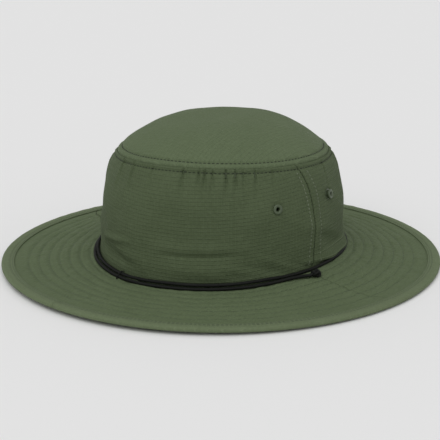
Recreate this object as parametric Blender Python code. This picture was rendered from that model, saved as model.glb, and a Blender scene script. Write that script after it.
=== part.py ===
"""Wide-brimmed boonie hat with a doubled cord round the crown, lying on its brim.

The front of the hat faces -Y, the wearer's left is +X and +Z is up. The origin is on the ground,
under the middle of the brim. Round the hat, a bearing of 0 is the front and 90 is the wearer's left.
Every cloth piece is one sheet, given its thickness by a Solidify modifier.
"""

import math

import bmesh
import bpy
from mathutils import Matrix, Vector

# The head opening, an oval measured on the outside of the crown's side band
OPENING_LENGTH = 0.195
OPENING_WIDTH = 0.175

# The brim, and where its upper cloth meets the crown
BRIM_WIDTH = 0.0735
ROOT_HEIGHT = 0.0125
ROOT_SAG = 0.0065
BRIM_FLARE = 1.15

# The crown: its side band stands to the seam, and the tip domes above it
SEAM_HEIGHT = 0.084
SEAM_RISE = 0.007
BAND_LEAN = 0.0038
SHOULDER_TUCK = 0.0094
SHOULDER_SHARPNESS = 4.65
TIP_RISE = 0.028
TIP_ROUNDNESS = 2.9

# The soft crown slumps towards this bearing
SLUMP_BEARING = 25.0
SLUMP_FOCUS = 2.2

# At the left seam its foot stands a little higher, over this many degrees each way
FOOT_LIFT = 0.0018
FOOT_LIFT_BEARING = 90.0
FOOT_LIFT_REACH = 42.0

# Cloth thicknesses, the clearance kept between two plies, and the gap between two sewn edges
PANEL = 0.0008
TAPE = 0.0006
BRIM_PLY = 0.0008
INTERLINING = 0.0008
SWEAT_FOAM = 0.001
CLEARANCE = 0.0003
SEAM_GAP = 0.0004

# The brim's stack of plies, and the binding folded over its edge
BRIM_MARGIN = 0.0045
BINDING_WIDTH = 0.0095
BINDING_PLY = 0.0007
EDGE_ROUNDING = 0.0012
TAPER_LENGTH = 0.004

# Inner trim
SWEATBAND_HEIGHT = 0.032
SEAM_TAPE_WIDTH = 0.012
CROWN_TAPE_WIDTH = 0.011
LABEL_WIDTH = 0.022
LABEL_HEIGHT = 0.02
LABEL_TOP = 0.027
LABEL_PLY = 0.0006

# Ventilation eyelets, level with each other: one ahead of each side seam and one behind it
EYELET_AHEAD = 18.8
EYELET_BEHIND = 16.8
EYELET_LEVEL = 0.0604
EYELET_BORE = 0.0014
EYELET_WALL = 0.0007
EYELET_FLANGE = 0.0037
EYELET_CROWN = 0.0008
EYELET_SEAT = 0.0006
WASHER_RADIUS = 0.004

# The cord and its end knots
CORD_DIAMETER = 0.0025
CORD_POINTS = 80
KNOT_LENGTH = 0.0072
KNOT_HEIGHT = 0.0054
TACK_THREAD = 0.0008

# The cord's way round the hat: bearing, then millimetres out from the band and up from the brim.
# It starts at the left knot, crosses the front, goes round the back and crosses the front again.
CORD_ROUTE = (
    (84, 9.0, 1.9), (79.5, 6.8, 2.2), (75, 5.4, 2.2), (69, 4.5, 1.9), (62, 3.6, 1.7), (50, 3.0, 1.7),
    (35, 3.0, 1.7), (20, 3.4, 1.7), (8, 5.2, 1.7), (-3, 5.6, 1.7), (-14, 5.0, 1.7), (-26, 4.6, 1.7),
    (-40, 3.8, 1.7), (-55, 3.4, 1.7), (-70, 3.0, 1.7), (-90, 2.1, 1.7), (-120, 2.0, 1.7),
    (-150, 2.0, 1.7), (-180, 1.9, 1.7), (-210, 1.7, 1.6), (-240, 1.7, 1.6), (-262, 1.7, 1.6),
    (-270, 1.9, 1.6), (-278, 1.9, 1.9), (-285, 1.9, 2.6), (-291, 1.9, 3.6), (-298, 2.2, 4.4),
    (-310, 2.3, 4.5), (-325, 2.3, 4.5), (-340, 2.4, 4.5), (-352, 3.0, 3.8), (-363, 2.9, 3.1),
    (-374, 2.2, 2.8), (-386, 1.9, 2.8), (-400, 1.8, 3.8), (-415, 1.8, 4.0), (-424, 1.8, 4.3),
    (-432, 2.6, 4.8), (-438, 4.0, 4.7), (-444, 5.5, 3.6), (-450, 7.0, 2.2), (-457, 9.2, 1.9),
)

# Each tack of thread crosses the cord at a bearing, along millimetres out from the band and up
TACKS = {
    "front": (-4.0, ((0.8, 5.4), (3.0, 5.3), (5.4, 4.3), (7.5, 3.0), (7.9, 0.8))),
    "back": (176.0, ((0.8, 3.8), (2.2, 3.7), (3.6, 2.9), (4.1, 0.8))),
}

# Facets round the whole hat and along each stretch of a profile
AROUND = 60
BAND_ROWS = 8
TIP_ROWS = 7
BRIM_ROWS = 2
TURNED_SIDES = 12

HALF_LENGTH = OPENING_LENGTH / 2
HALF_WIDTH = OPENING_WIDTH / 2
MEAN_RADIUS = (HALF_LENGTH + HALF_WIDTH) / 2
EDGE_STACK = 2 * BRIM_PLY + CLEARANCE
EDGE_THICKNESS = EDGE_STACK + 2 * (BINDING_PLY + CLEARANCE)
EDGE_TOP = BINDING_PLY + CLEARANCE + EDGE_STACK
PLY_END = BRIM_WIDTH - EDGE_ROUNDING - CLEARANCE
CROWN_SEAM_GAP = PANEL / 2
BINDING_START = BRIM_WIDTH - BINDING_WIDTH
TAPE_DEPTH = PANEL + CLEARANCE
SWEAT_DEPTH = TAPE_DEPTH + TAPE + CLEARANCE

FABRIC_GREEN = (0.105, 0.135, 0.075)
FABRIC_SHADE = (0.08, 0.105, 0.055)
CORD_BLACK = (0.012, 0.013, 0.011)
PAINT_GREEN = (0.09, 0.115, 0.065)
LABEL_WHITE = (0.62, 0.62, 0.58)


def material(name, colour, roughness, metallic=0.0):
    made = bpy.data.materials.new(name)
    made.use_nodes = True
    shader = made.node_tree.nodes["Principled BSDF"]
    shader.inputs["Base Color"].default_value = (*colour, 1.0)
    shader.inputs["Roughness"].default_value = roughness
    shader.inputs["Metallic"].default_value = metallic
    return made


def slump(bearing):
    """1 on the side the crown slumps to, falling to 0 on the far side."""
    turn = math.radians(bearing - SLUMP_BEARING)
    return ((1 + math.cos(turn)) / 2) ** SLUMP_FOCUS


def root_height(bearing):
    """The height of the crown's foot: it sinks on the slumped side, and is lifted at the left seam."""
    turn = (bearing - FOOT_LIFT_BEARING + 180) % 360 - 180
    lift = (1 + math.cos(math.pi * min(abs(turn) / FOOT_LIFT_REACH, 1.0))) / 2
    return ROOT_HEIGHT - ROOT_SAG * slump(bearing) + FOOT_LIFT * lift


def seam_height(bearing):
    return SEAM_HEIGHT + SEAM_RISE * slump(bearing)


def band_tall(bearing):
    return seam_height(bearing) - root_height(bearing)


def on_oval(bearing, half_length, half_width, height):
    turn = math.radians(bearing)
    return Vector((half_width * math.sin(turn), -half_length * math.cos(turn), height))


def around_crown(bearing, out, height):
    """A point at a distance out from the head opening's oval."""
    return on_oval(bearing, HALF_LENGTH + out, HALF_WIDTH + out, height)


def band_point(bearing, rise, depth):
    """On the side band, at a share of its height from root to seam, this deep under its face."""
    tall = band_tall(bearing)
    out = -BAND_LEAN * rise - SHOULDER_TUCK * rise**SHOULDER_SHARPNESS
    slope = -BAND_LEAN - SHOULDER_TUCK * SHOULDER_SHARPNESS * rise ** (SHOULDER_SHARPNESS - 1)
    steep = math.hypot(tall, slope)
    height = root_height(bearing) + tall * rise
    return around_crown(bearing, out - depth * tall / steep, height + depth * slope / steep)


def band_share(bearing, height):
    """The share of the band's height that a height in metres above its root is."""
    return height / band_tall(bearing)


def tip_point(bearing, spread, depth):
    """On the domed tip, at a share of the way from its middle to the seam."""
    tuck = BAND_LEAN + SHOULDER_TUCK
    lift = seam_height(bearing) - SEAM_HEIGHT
    height = SEAM_HEIGHT + lift * spread**2 + TIP_RISE * (1 - spread**TIP_ROUNDNESS)
    slope = 2 * lift * spread - TIP_RISE * TIP_ROUNDNESS * spread ** (TIP_ROUNDNESS - 1)
    reach = MEAN_RADIUS - tuck
    steep = math.hypot(reach, slope)
    inward = -depth * slope / steep
    return on_oval(
        bearing,
        (HALF_LENGTH - tuck) * spread - inward,
        (HALF_WIDTH - tuck) * spread - inward,
        height - depth * reach / steep,
    )


def brim_top(bearing, out):
    """The height of the brim's upper face: level under the band and under the binding."""
    level_from = BINDING_START - TAPER_LENGTH
    share = 1 - min(max(out, 0.0) / level_from, 1.0)
    return EDGE_TOP + (root_height(bearing) - SEAM_GAP - EDGE_TOP) * share**BRIM_FLARE


def under_depth(out):
    """How deep the lower cloth lies under the upper: it closes up past the interlining's edge."""
    full = BRIM_PLY + INTERLINING + 2 * CLEARANCE
    closed = BRIM_PLY + CLEARANCE
    share = (out - BINDING_START + TAPER_LENGTH) / TAPER_LENGTH
    return full + (closed - full) * min(max(share, 0.0), 1.0)


def add(name, mesh_data, finish):
    piece = bpy.data.objects.new(name, mesh_data)
    mesh_data.materials.append(finish)
    bpy.context.scene.collection.objects.link(piece)
    return piece


def grid_mesh(name, place, columns, rows):
    """A grid whose every corner goes where place puts its two shares, from 0 to 1."""
    shape = bmesh.new()
    bmesh.ops.create_grid(shape, x_segments=columns, y_segments=rows, size=1.0)
    for corner in shape.verts:
        corner.co = place((corner.co.x + 1) / 2, (corner.co.y + 1) / 2)
    bmesh.ops.remove_doubles(shape, verts=shape.verts, dist=1e-6)
    made = bpy.data.meshes.new(name)
    shape.to_mesh(made)
    shape.free()
    made.shade_smooth()
    return made


def sheet(name, place, columns, rows, thickness, finish):
    """A cloth piece: the outer face, thickened inwards."""
    piece = add(name, grid_mesh(name, place, columns, rows), finish)
    ply = piece.modifiers.new("Ply", "SOLIDIFY")
    ply.thickness = thickness
    ply.offset = -1.0
    ply.use_even_offset = True
    return piece


def blend(low, high, share):
    return low + (high - low) * share


def gap_turn(radius):
    """Half a seam's gap, as degrees at this radius."""
    return math.degrees(SEAM_GAP / 2 / radius)


def crown_tip(finish):
    edge = 1 - CROWN_SEAM_GAP / 2 / (MEAN_RADIUS - BAND_LEAN - SHOULDER_TUCK)

    def place(across, inward):
        return tip_point(360 * across, edge * (1 - inward), 0.0)

    return sheet("crown_tip", place, AROUND, TIP_ROWS, PANEL, finish)


def side_band(name, middle, finish):
    reach = 90 - gap_turn(MEAN_RADIUS)

    def place(across, rise):
        bearing = middle + blend(-reach, reach, across)
        top = 1 - band_share(bearing, CROWN_SEAM_GAP / 2)
        return band_point(bearing, top * rise, 0.0)

    return sheet(name, place, AROUND // 2, BAND_ROWS, PANEL, finish)


def crown_seam_tape(finish):
    """The binding over the seam between band and tip, on the inside, joined at the back."""
    half = CROWN_TAPE_WIDTH / 2
    reach = 180 - gap_turn(MEAN_RADIUS)

    def place(across, inward):
        bearing = blend(-reach, reach, across)
        along = blend(-half, half, inward)
        if along <= 0:
            return band_point(bearing, 1 + band_share(bearing, along), TAPE_DEPTH)
        return tip_point(bearing, 1 - along / MEAN_RADIUS, TAPE_DEPTH)

    return sheet("crown_seam_tape", place, AROUND, 2, TAPE, finish)


def side_seam_tape(name, middle, finish):
    """The tape over a side seam, on the inside, from the root to just under the crown tape."""
    reach = math.degrees(SEAM_TAPE_WIDTH / 2 / MEAN_RADIUS)
    under = CROWN_TAPE_WIDTH / 2 + 2 * CLEARANCE

    def place(across, rise):
        bearing = middle + blend(-reach, reach, across)
        return band_point(bearing, (1 - band_share(bearing, under)) * rise, TAPE_DEPTH)

    return sheet(name, place, 4, BAND_ROWS, TAPE, finish)


def sweatband(finish):
    """The padded inner band, a strip joined end to end at the back."""
    reach = 180 - gap_turn(MEAN_RADIUS)

    def place(across, rise):
        bearing = blend(-reach, reach, across)
        return band_point(bearing, band_share(bearing, SWEATBAND_HEIGHT * rise), SWEAT_DEPTH)

    return sheet("sweatband", place, AROUND, 3, SWEAT_FOAM, finish)


def size_label(finish):
    """A flat tag that hangs inside the back of the sweatband and swings on its top edge."""
    reach = math.degrees(LABEL_WIDTH / 2 / (HALF_WIDTH - SWEAT_DEPTH))
    corner = 180 - reach
    sweat_face = band_point(corner, band_share(corner, LABEL_TOP), SWEAT_DEPTH + SWEAT_FOAM)
    top = root_height(180) + LABEL_TOP
    back = sweat_face.y - CLEARANCE

    def place(across, rise):
        sideways = blend(LABEL_WIDTH / 2, -LABEL_WIDTH / 2, across)
        return Vector((sideways, back, top - LABEL_HEIGHT * (1 - rise)))

    return sheet("size_label", place, 2, 2, LABEL_PLY, finish)


def brim_ply(name, middle, span, outer, depth, thickness, finish, inner=-BRIM_MARGIN):
    """A ply of the brim from its inner margin out, under the upper face by depth(out)."""
    stops = [outer, BINDING_START, BINDING_START - TAPER_LENGTH]
    stops = [stop for stop in stops if inner < stop <= outer]
    steps = [blend(min(stops), 0.0, row / BRIM_ROWS) for row in range(1, BRIM_ROWS + 1)]
    reaches = sorted({round(value, 7) for value in [*stops, *steps, inner]}, reverse=True)
    rows = len(reaches) - 1

    def place(across, inward):
        out = reaches[round(inward * rows)]
        reach = span / 2 - (gap_turn(MEAN_RADIUS + out) if span < 360 else 0)
        bearing = middle + blend(-reach, reach, across)
        return around_crown(bearing, out, brim_top(bearing, out) - depth(out))

    return sheet(name, place, round(AROUND * span / 360), rows, thickness, finish)


def brim(green, stiffener):
    for end, middle in (("front", 0), ("rear", 180)):
        brim_ply(f"brim_upper_{end}", middle, 180, PLY_END, lambda out: 0.0, BRIM_PLY, green)
        brim_ply(f"brim_under_{end}", middle, 180, PLY_END, under_depth, BRIM_PLY, green)
    between = BRIM_PLY + CLEARANCE
    outer = BINDING_START - TAPER_LENGTH
    brim_ply("brim_interlining", 0, 360, outer, lambda out: between, INTERLINING, stiffener)


def brim_edge_binding(finish):
    """A strip folded over the brim's edge: flat underneath, where the hat rests, and rounded outside."""
    start = BINDING_START
    nose = BRIM_WIDTH
    shoulder = EDGE_ROUNDING
    high = EDGE_THICKNESS
    low_inside = BINDING_PLY
    high_inside = high - BINDING_PLY
    section = (
        (start, 0.0),
        (nose - 1.3 * shoulder, 0.0),
        (nose - 0.3 * shoulder, 0.18 * high),
        (nose, 0.5 * high),
        (nose - 0.3 * shoulder, 0.82 * high),
        (nose - 1.3 * shoulder, high),
        (start, high),
        (start, high_inside),
        (nose - shoulder, high_inside),
        (nose - shoulder, low_inside),
        (start, low_inside),
    )

    def place(across, along):
        out, height = section[round(along * len(section)) % len(section)]
        return around_crown(360 * across, out, height)

    return add("brim_edge_binding", grid_mesh("brim_edge_binding", place, AROUND, len(section)), finish)


def band_frame(bearing, level):
    """A frame on the band's face at that level: its Z axis points straight out of the cloth."""
    rise = band_share(bearing, level - root_height(bearing))
    middle = band_point(bearing, rise, 0.0)
    outwards = (middle - band_point(bearing, rise, PANEL)).normalized()
    return Matrix.Translation(middle) @ outwards.to_track_quat("Z", "Y").to_matrix().to_4x4()


def turned(name, section, frame, finish):
    """A ring turned from a closed section of radius and height, set on a frame."""
    shape = bmesh.new()
    corners = [shape.verts.new((radius, 0.0, height)) for radius, height in section]
    loop = [shape.edges.new((corners[i - 1], corners[i])) for i in range(len(corners))]
    bmesh.ops.spin(
        shape,
        geom=[*corners, *loop],
        axis=(0, 0, 1),
        cent=(0, 0, 0),
        steps=TURNED_SIDES,
        angle=math.tau,
        use_merge=True,
    )
    bmesh.ops.remove_doubles(shape, verts=shape.verts, dist=1e-7)
    bmesh.ops.recalc_face_normals(shape, faces=shape.faces)
    made = bpy.data.meshes.new(name)
    shape.to_mesh(made)
    shape.free()
    made.shade_smooth()
    made.set_sharp_from_angle(angle=math.radians(40))
    piece = add(name, made, finish)
    piece.matrix_world = frame
    return piece


def eyelet(side, bearing, cloth, paint):
    """A flanged eyelet through the band, its inner end rolled over a washer."""
    frame = band_frame(bearing, EYELET_LEVEL)
    barrel = EYELET_BORE + EYELET_WALL
    seat = EYELET_SEAT
    washer_top = -(PANEL + EYELET_SEAT)
    washer_foot = washer_top - TAPE
    roll = washer_foot - CLEARANCE
    section = (
        (EYELET_BORE, seat + 0.7 * EYELET_CROWN),
        (barrel, seat + EYELET_CROWN),
        (0.85 * EYELET_FLANGE, seat + 0.8 * EYELET_CROWN),
        (EYELET_FLANGE, seat),
        (barrel, seat),
        (barrel, roll),
        (barrel + EYELET_WALL, roll),
        (barrel + EYELET_WALL, roll - EYELET_WALL),
        (EYELET_BORE, roll - EYELET_WALL),
    )
    turned(f"eyelet_{side}", section, frame, paint)
    bore = barrel + CLEARANCE
    washer = (
        (bore, washer_top),
        (WASHER_RADIUS, washer_top),
        (WASHER_RADIUS, washer_foot),
        (bore, washer_foot),
    )
    turned(f"eyelet_washer_{side}", washer, frame, paint)
    punch_hole(side, cloth, frame, bore)


def punch_hole(side, cloth, frame, radius):
    """The hole in the band that the eyelet's barrel passes through."""
    shape = bmesh.new()
    bmesh.ops.create_cone(
        shape,
        cap_ends=True,
        segments=TURNED_SIDES,
        radius1=radius,
        radius2=radius,
        depth=12 * PANEL,
    )
    made = bpy.data.meshes.new(f"punch_{side}")
    shape.to_mesh(made)
    shape.free()
    punch = bpy.data.objects.new(f"punch_{side}", made)
    bpy.context.scene.collection.objects.link(punch)
    punch.matrix_world = frame
    punch.hide_render = True
    punch.display_type = "WIRE"
    cut = cloth.modifiers.new("Eyelet hole", "BOOLEAN")
    cut.operation = "DIFFERENCE"
    cut.object = punch


def eyelets(front_band, rear_band, paint):
    for side, turn in (("left", 1), ("right", -1)):
        eyelet(f"{side}_front", turn * (90 - EYELET_AHEAD), front_band, paint)
        eyelet(f"{side}_rear", turn * (90 + EYELET_BEHIND), rear_band, paint)


def beside_crown(bearing, out, up):
    """A point this many metres out from the band and up from the brim's face."""
    return around_crown(bearing, out, brim_top(bearing, out) + up)


def smooth_route(stops, count):
    """Evenly read points on a Catmull-Rom curve through bearing, out and up stops."""
    ends = [stops[0], *stops, stops[-1]]
    fine = []
    for i in range(len(stops) - 1):
        before, first, second, after = (Vector(stop) for stop in ends[i : i + 4])
        for step in range(24):
            t = step / 24
            bend = 2 * before - 5 * first + 4 * second - after
            twist = 3 * first - before - 3 * second + after
            fine.append((2 * first + (second - before) * t + bend * t**2 + twist * t**3) / 2)
    fine.append(Vector(stops[-1]))
    path = [beside_crown(stop.x, stop.y / 1000, stop.z / 1000) for stop in fine]
    run = [0.0]
    for i in range(1, len(path)):
        run.append(run[-1] + (path[i] - path[i - 1]).length)
    points = []
    i = 1
    for n in range(count):
        target = run[-1] * n / (count - 1)
        while run[i] < target - 1e-9:
            i += 1
        points.append(path[i - 1].lerp(path[i], (target - run[i - 1]) / (run[i] - run[i - 1])))
    return points


def tube(name, points, diameter, resolution, finish):
    line = bpy.data.curves.new(name, "CURVE")
    line.dimensions = "3D"
    line.bevel_depth = diameter / 2
    line.bevel_resolution = resolution
    line.use_fill_caps = True
    run = line.splines.new("POLY")
    run.points.add(len(points) - 1)
    for spot, point in zip(run.points, points):
        spot.co = (*point, 1.0)
    return add(name, line, finish)


def knot(name, points, finish):
    """A tight overhand knot on the end of the cord, lying on the brim."""
    heading = (points[0] - points[1]).normalized()
    middle = points[0] + heading * (KNOT_LENGTH / 2 + CLEARANCE)
    shape = bmesh.new()
    bmesh.ops.create_uvsphere(shape, u_segments=TURNED_SIDES, v_segments=8, radius=0.5)
    size = Matrix.Diagonal((KNOT_HEIGHT * 1.05, KNOT_HEIGHT, KNOT_LENGTH, 1.0))
    place = Matrix.Translation(middle) @ heading.to_track_quat("Z", "Y").to_matrix().to_4x4()
    bmesh.ops.transform(shape, matrix=place @ size, verts=shape.verts)
    lift = brim_top_at(middle) + KNOT_HEIGHT / 2 + CLEARANCE - middle.z
    bmesh.ops.translate(shape, verts=shape.verts, vec=(0, 0, max(lift, 0.0)))
    made = bpy.data.meshes.new(name)
    shape.to_mesh(made)
    shape.free()
    made.shade_smooth()
    return add(name, made, finish)


def brim_top_at(point):
    """The brim's height under a point beside the crown."""
    bearing = math.degrees(math.atan2(point.x / HALF_WIDTH, -point.y / HALF_LENGTH))
    turn = math.radians(bearing)
    oval = Vector((HALF_WIDTH * math.sin(turn), -HALF_LENGTH * math.cos(turn)))
    return brim_top(bearing, point.xy.length - oval.length)


def cord_tack(name, bearing, crossing, finish):
    """A bar of thread that holds the cord into the crease."""
    points = [beside_crown(bearing, out / 1000, up / 1000) for out, up in crossing]
    return tube(name, points, TACK_THREAD, 1, finish)


def cord(finish):
    points = smooth_route(CORD_ROUTE, CORD_POINTS)
    tube("hat_cord", points, CORD_DIAMETER, 2, finish)
    knot("cord_knot_left", points, finish)
    knot("cord_knot_right", points[::-1], finish)
    for place, (bearing, crossing) in TACKS.items():
        cord_tack(f"cord_tack_{place}", bearing, crossing, finish)


def clear_scene():
    for item in list(bpy.data.objects):
        bpy.data.objects.remove(item, do_unlink=True)


def build():
    clear_scene()
    cloth = material("ripstop_green", FABRIC_GREEN, 0.85)
    shaded = material("ripstop_band", FABRIC_SHADE, 0.85)
    lining = material("sweatband_green", FABRIC_SHADE, 0.95)
    tape = material("seam_tape", FABRIC_SHADE, 0.9)
    stiffener = material("interlining", LABEL_WHITE, 0.95)
    paint = material("eyelet_paint", PAINT_GREEN, 0.45, 0.2)
    cord_finish = material("cord_black", CORD_BLACK, 0.8)
    label_finish = material("label_cloth", LABEL_WHITE, 0.9)

    crown_tip(cloth)
    front_band = side_band("side_band_front", 0, shaded)
    rear_band = side_band("side_band_rear", 180, shaded)
    eyelets(front_band, rear_band, paint)
    crown_seam_tape(tape)
    side_seam_tape("side_seam_tape_left", 90, tape)
    side_seam_tape("side_seam_tape_right", -90, tape)
    sweatband(lining)
    size_label(label_finish)
    brim(cloth, stiffener)
    brim_edge_binding(cloth)
    cord(cord_finish)


build()
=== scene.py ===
"""Wide-brimmed boonie hat of olive ripstop cloth with a doubled black cord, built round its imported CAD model.

The front faces -Y, the wearer's left is +X and +Z is up, on a ground at z = 0. Round the hat, a bearing of 0
is the front and 90 is the wearer's left. "Out" is a distance out from the foot of the crown.
"""

import math

import bmesh
import bpy
from mathutils import Matrix, Vector, noise


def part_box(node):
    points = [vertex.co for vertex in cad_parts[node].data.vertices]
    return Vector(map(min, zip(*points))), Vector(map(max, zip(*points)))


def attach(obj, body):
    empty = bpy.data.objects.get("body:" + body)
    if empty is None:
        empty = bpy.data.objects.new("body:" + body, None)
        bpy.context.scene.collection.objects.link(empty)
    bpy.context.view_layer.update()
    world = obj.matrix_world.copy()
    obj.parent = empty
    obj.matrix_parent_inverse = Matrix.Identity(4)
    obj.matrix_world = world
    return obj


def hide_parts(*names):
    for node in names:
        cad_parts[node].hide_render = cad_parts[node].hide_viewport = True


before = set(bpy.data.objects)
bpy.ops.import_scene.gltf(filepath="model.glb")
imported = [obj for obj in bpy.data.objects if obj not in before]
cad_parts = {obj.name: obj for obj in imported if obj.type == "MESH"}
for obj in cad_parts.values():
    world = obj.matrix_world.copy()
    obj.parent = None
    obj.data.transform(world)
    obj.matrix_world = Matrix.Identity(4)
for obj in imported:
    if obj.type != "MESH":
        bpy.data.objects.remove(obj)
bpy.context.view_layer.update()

# --------------------------------------
# Studio: a pale matt floor that runs far back, even light from all round, and one broad soft light
# from above. The camera stands off the wearer's left front with a long lens.
# --------------------------------------
FLOOR_REACH = 9.0
FLOOR_DROP = 0.0002
FLOOR_GREY = 0.86
AIR_STRENGTH = 0.58
SUN_STRENGTH = 1.16
SUN_SPREAD = math.radians(66)
SUN_TOWARDS = Vector((0.22, -0.49, 0.85))

CAMERA_DISTANCE = 1.1
CAMERA_HEIGHT_ANGLE = math.radians(16.504)
CAMERA_BEARING = math.radians(42.67)
CAMERA_AIM = Vector((0.0, 0.0, 0.035))
CAMERA_ROLL = 0.0105
CAMERA_LENS = 118.95
CAMERA_SHIFT = (-0.0077, -0.0164)


def new_finish(name, colour, roughness):
    """A material with its node tree, its shader and the colour and roughness that it starts from."""
    finish = bpy.data.materials.new(name)
    finish.use_nodes = True
    shader = finish.node_tree.nodes["Principled BSDF"]
    shader.inputs["Base Color"].default_value = (*colour, 1.0)
    shader.inputs["Roughness"].default_value = roughness
    return finish, finish.node_tree, shader


floor_finish, _, floor_shader = new_finish("floor_paint", (FLOOR_GREY,) * 3, 0.9)
floor_shader.inputs["Specular IOR Level"].default_value = 0.1
floor_shape = bmesh.new()
bmesh.ops.create_grid(floor_shape, x_segments=2, y_segments=2, size=FLOOR_REACH)
bmesh.ops.translate(floor_shape, verts=floor_shape.verts, vec=(0, 0, -FLOOR_DROP))
floor_mesh = bpy.data.meshes.new("floor")
floor_shape.to_mesh(floor_mesh)
floor_shape.free()
floor_mesh.materials.append(floor_finish)
floor = bpy.data.objects.new("floor", floor_mesh)
bpy.context.scene.collection.objects.link(floor)

air = bpy.data.worlds.new("studio_air")
air.use_nodes = True
air.node_tree.nodes["Background"].inputs["Color"].default_value = (1.0, 1.0, 1.0, 1.0)
air.node_tree.nodes["Background"].inputs["Strength"].default_value = AIR_STRENGTH
bpy.context.scene.world = air

sun_light = bpy.data.lights.new("soft_box", "SUN")
sun_light.energy = SUN_STRENGTH
sun_light.angle = SUN_SPREAD
sun = bpy.data.objects.new("soft_box", sun_light)
sun.matrix_world = SUN_TOWARDS.to_track_quat("Z", "Y").to_matrix().to_4x4()
bpy.context.scene.collection.objects.link(sun)

camera_data = bpy.data.cameras.new("camera")
camera_data.lens = CAMERA_LENS
camera_data.shift_x, camera_data.shift_y = CAMERA_SHIFT
camera_data.clip_start = 0.05
camera = bpy.data.objects.new("camera", camera_data)
level = CAMERA_DISTANCE * math.cos(CAMERA_HEIGHT_ANGLE)
away = Vector(
    (
        level * math.sin(CAMERA_BEARING),
        -level * math.cos(CAMERA_BEARING),
        CAMERA_DISTANCE * math.sin(CAMERA_HEIGHT_ANGLE),
    )
)
facing = (-away).to_track_quat("-Z", "Y").to_matrix() @ Matrix.Rotation(CAMERA_ROLL, 3, "Z")
camera.matrix_world = Matrix.Translation(CAMERA_AIM + away) @ facing.to_4x4()
bpy.context.scene.collection.objects.link(camera)
bpy.context.scene.camera = camera
bpy.context.scene.view_settings.view_transform = "Standard"

# --------------------------------------
# Cord: a round cord of plaited black polyester, 2.5 mm thick and 902 mm long. It lies in the crease
# between crown and brim, from a knot at the left seam one and a half times round to a knot at the right.
# --------------------------------------
HALF_LENGTH = 0.0975
HALF_WIDTH = 0.0875
MEAN_RADIUS = (HALF_LENGTH + HALF_WIDTH) / 2
ROOT_HEIGHT = 0.0125
ROOT_SAG = 0.0065
SLUMP_BEARING = 25.0
SLUMP_FOCUS = 2.2
FOOT_LIFT = 0.0018
FOOT_LIFT_BEARING = 90.0
FOOT_LIFT_REACH = 42.0
SEAM_GAP = 0.0004
EDGE_TOP = 0.0029
BRIM_LEVEL_FROM = 0.060
BRIM_FLARE = 1.15

CORD_DIAMETER = 0.0025
CORD_STEP = 0.0003
CORD_SIDES = 20
PLAIT_PITCH = 0.0014
PLAIT_DEPTH = 0.00019
# Bearing, then millimetres out from the band and up from the brim's face
CORD_ROUTE = (
    (84, 9.0, 1.9), (79.5, 6.8, 2.2), (75, 5.4, 2.2), (69, 4.5, 1.9), (62, 3.6, 1.7), (50, 3.0, 1.7),
    (35, 3.0, 1.7), (20, 3.4, 1.7), (8, 5.2, 1.7), (-3, 5.6, 1.7), (-14, 5.0, 1.7), (-26, 4.6, 1.7),
    (-40, 3.8, 1.7), (-55, 3.4, 1.7), (-70, 3.0, 1.7), (-90, 2.1, 1.7), (-120, 2.0, 1.7),
    (-150, 2.0, 1.7), (-180, 1.9, 1.7), (-210, 1.7, 1.6), (-240, 1.7, 1.6), (-262, 1.7, 1.6),
    (-270, 1.9, 1.6), (-278, 1.9, 1.9), (-285, 1.9, 2.6), (-291, 1.9, 3.6), (-298, 2.2, 4.4),
    (-310, 2.3, 4.5), (-325, 2.3, 4.5), (-340, 2.4, 4.5), (-352, 3.0, 3.8), (-363, 2.9, 3.1),
    (-374, 2.2, 2.8), (-386, 1.9, 2.8), (-400, 1.8, 3.8), (-415, 1.8, 4.0), (-424, 1.8, 4.3),
    (-432, 2.6, 4.8), (-438, 4.0, 4.7), (-444, 5.5, 3.6), (-450, 7.0, 2.2), (-457, 9.2, 1.9),
)


def held(value):
    """The value, held between 0 and 1."""
    return min(max(value, 0.0), 1.0)


def slump(bearing):
    """1 on the side the crown slumps to, falling to 0 on the far side."""
    return ((1 + math.cos(math.radians(bearing - SLUMP_BEARING))) / 2) ** SLUMP_FOCUS


def turn_between(first, second):
    """The signed angle from the second bearing to the first, the short way round."""
    return (first - second + 180) % 360 - 180


def root_height(bearing):
    """The height of the crown's foot: it sinks on the slumped side, and is lifted at the left seam."""
    turn = turn_between(bearing, FOOT_LIFT_BEARING)
    lift = (1 + math.cos(math.pi * min(abs(turn) / FOOT_LIFT_REACH, 1.0))) / 2
    return ROOT_HEIGHT - ROOT_SAG * slump(bearing) + FOOT_LIFT * lift


def on_oval(bearing, half_length, half_width, height):
    turn = math.radians(bearing)
    return Vector((half_width * math.sin(turn), -half_length * math.cos(turn), height))


def around_crown(bearing, out, height):
    return on_oval(bearing, HALF_LENGTH + out, HALF_WIDTH + out, height)


def brim_top(bearing, out):
    """The height of the brim's upper face: level under the band and under the binding."""
    share = 1 - held(out / BRIM_LEVEL_FROM)
    return EDGE_TOP + (root_height(bearing) - SEAM_GAP - EDGE_TOP) * share**BRIM_FLARE


def beside_crown(bearing, out, up):
    return around_crown(bearing, out, brim_top(bearing, out) + up)


def even_points(path, step):
    """The path read again at even steps."""
    run = [0.0]
    for i in range(1, len(path)):
        run.append(run[-1] + (path[i] - path[i - 1]).length)
    count = max(round(run[-1] / step), 2)
    points = []
    i = 1
    for n in range(count + 1):
        target = run[-1] * n / count
        while i < len(path) - 1 and run[i] < target:
            i += 1
        points.append(path[i - 1].lerp(path[i], (target - run[i - 1]) / (run[i] - run[i - 1])))
    return points


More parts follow.
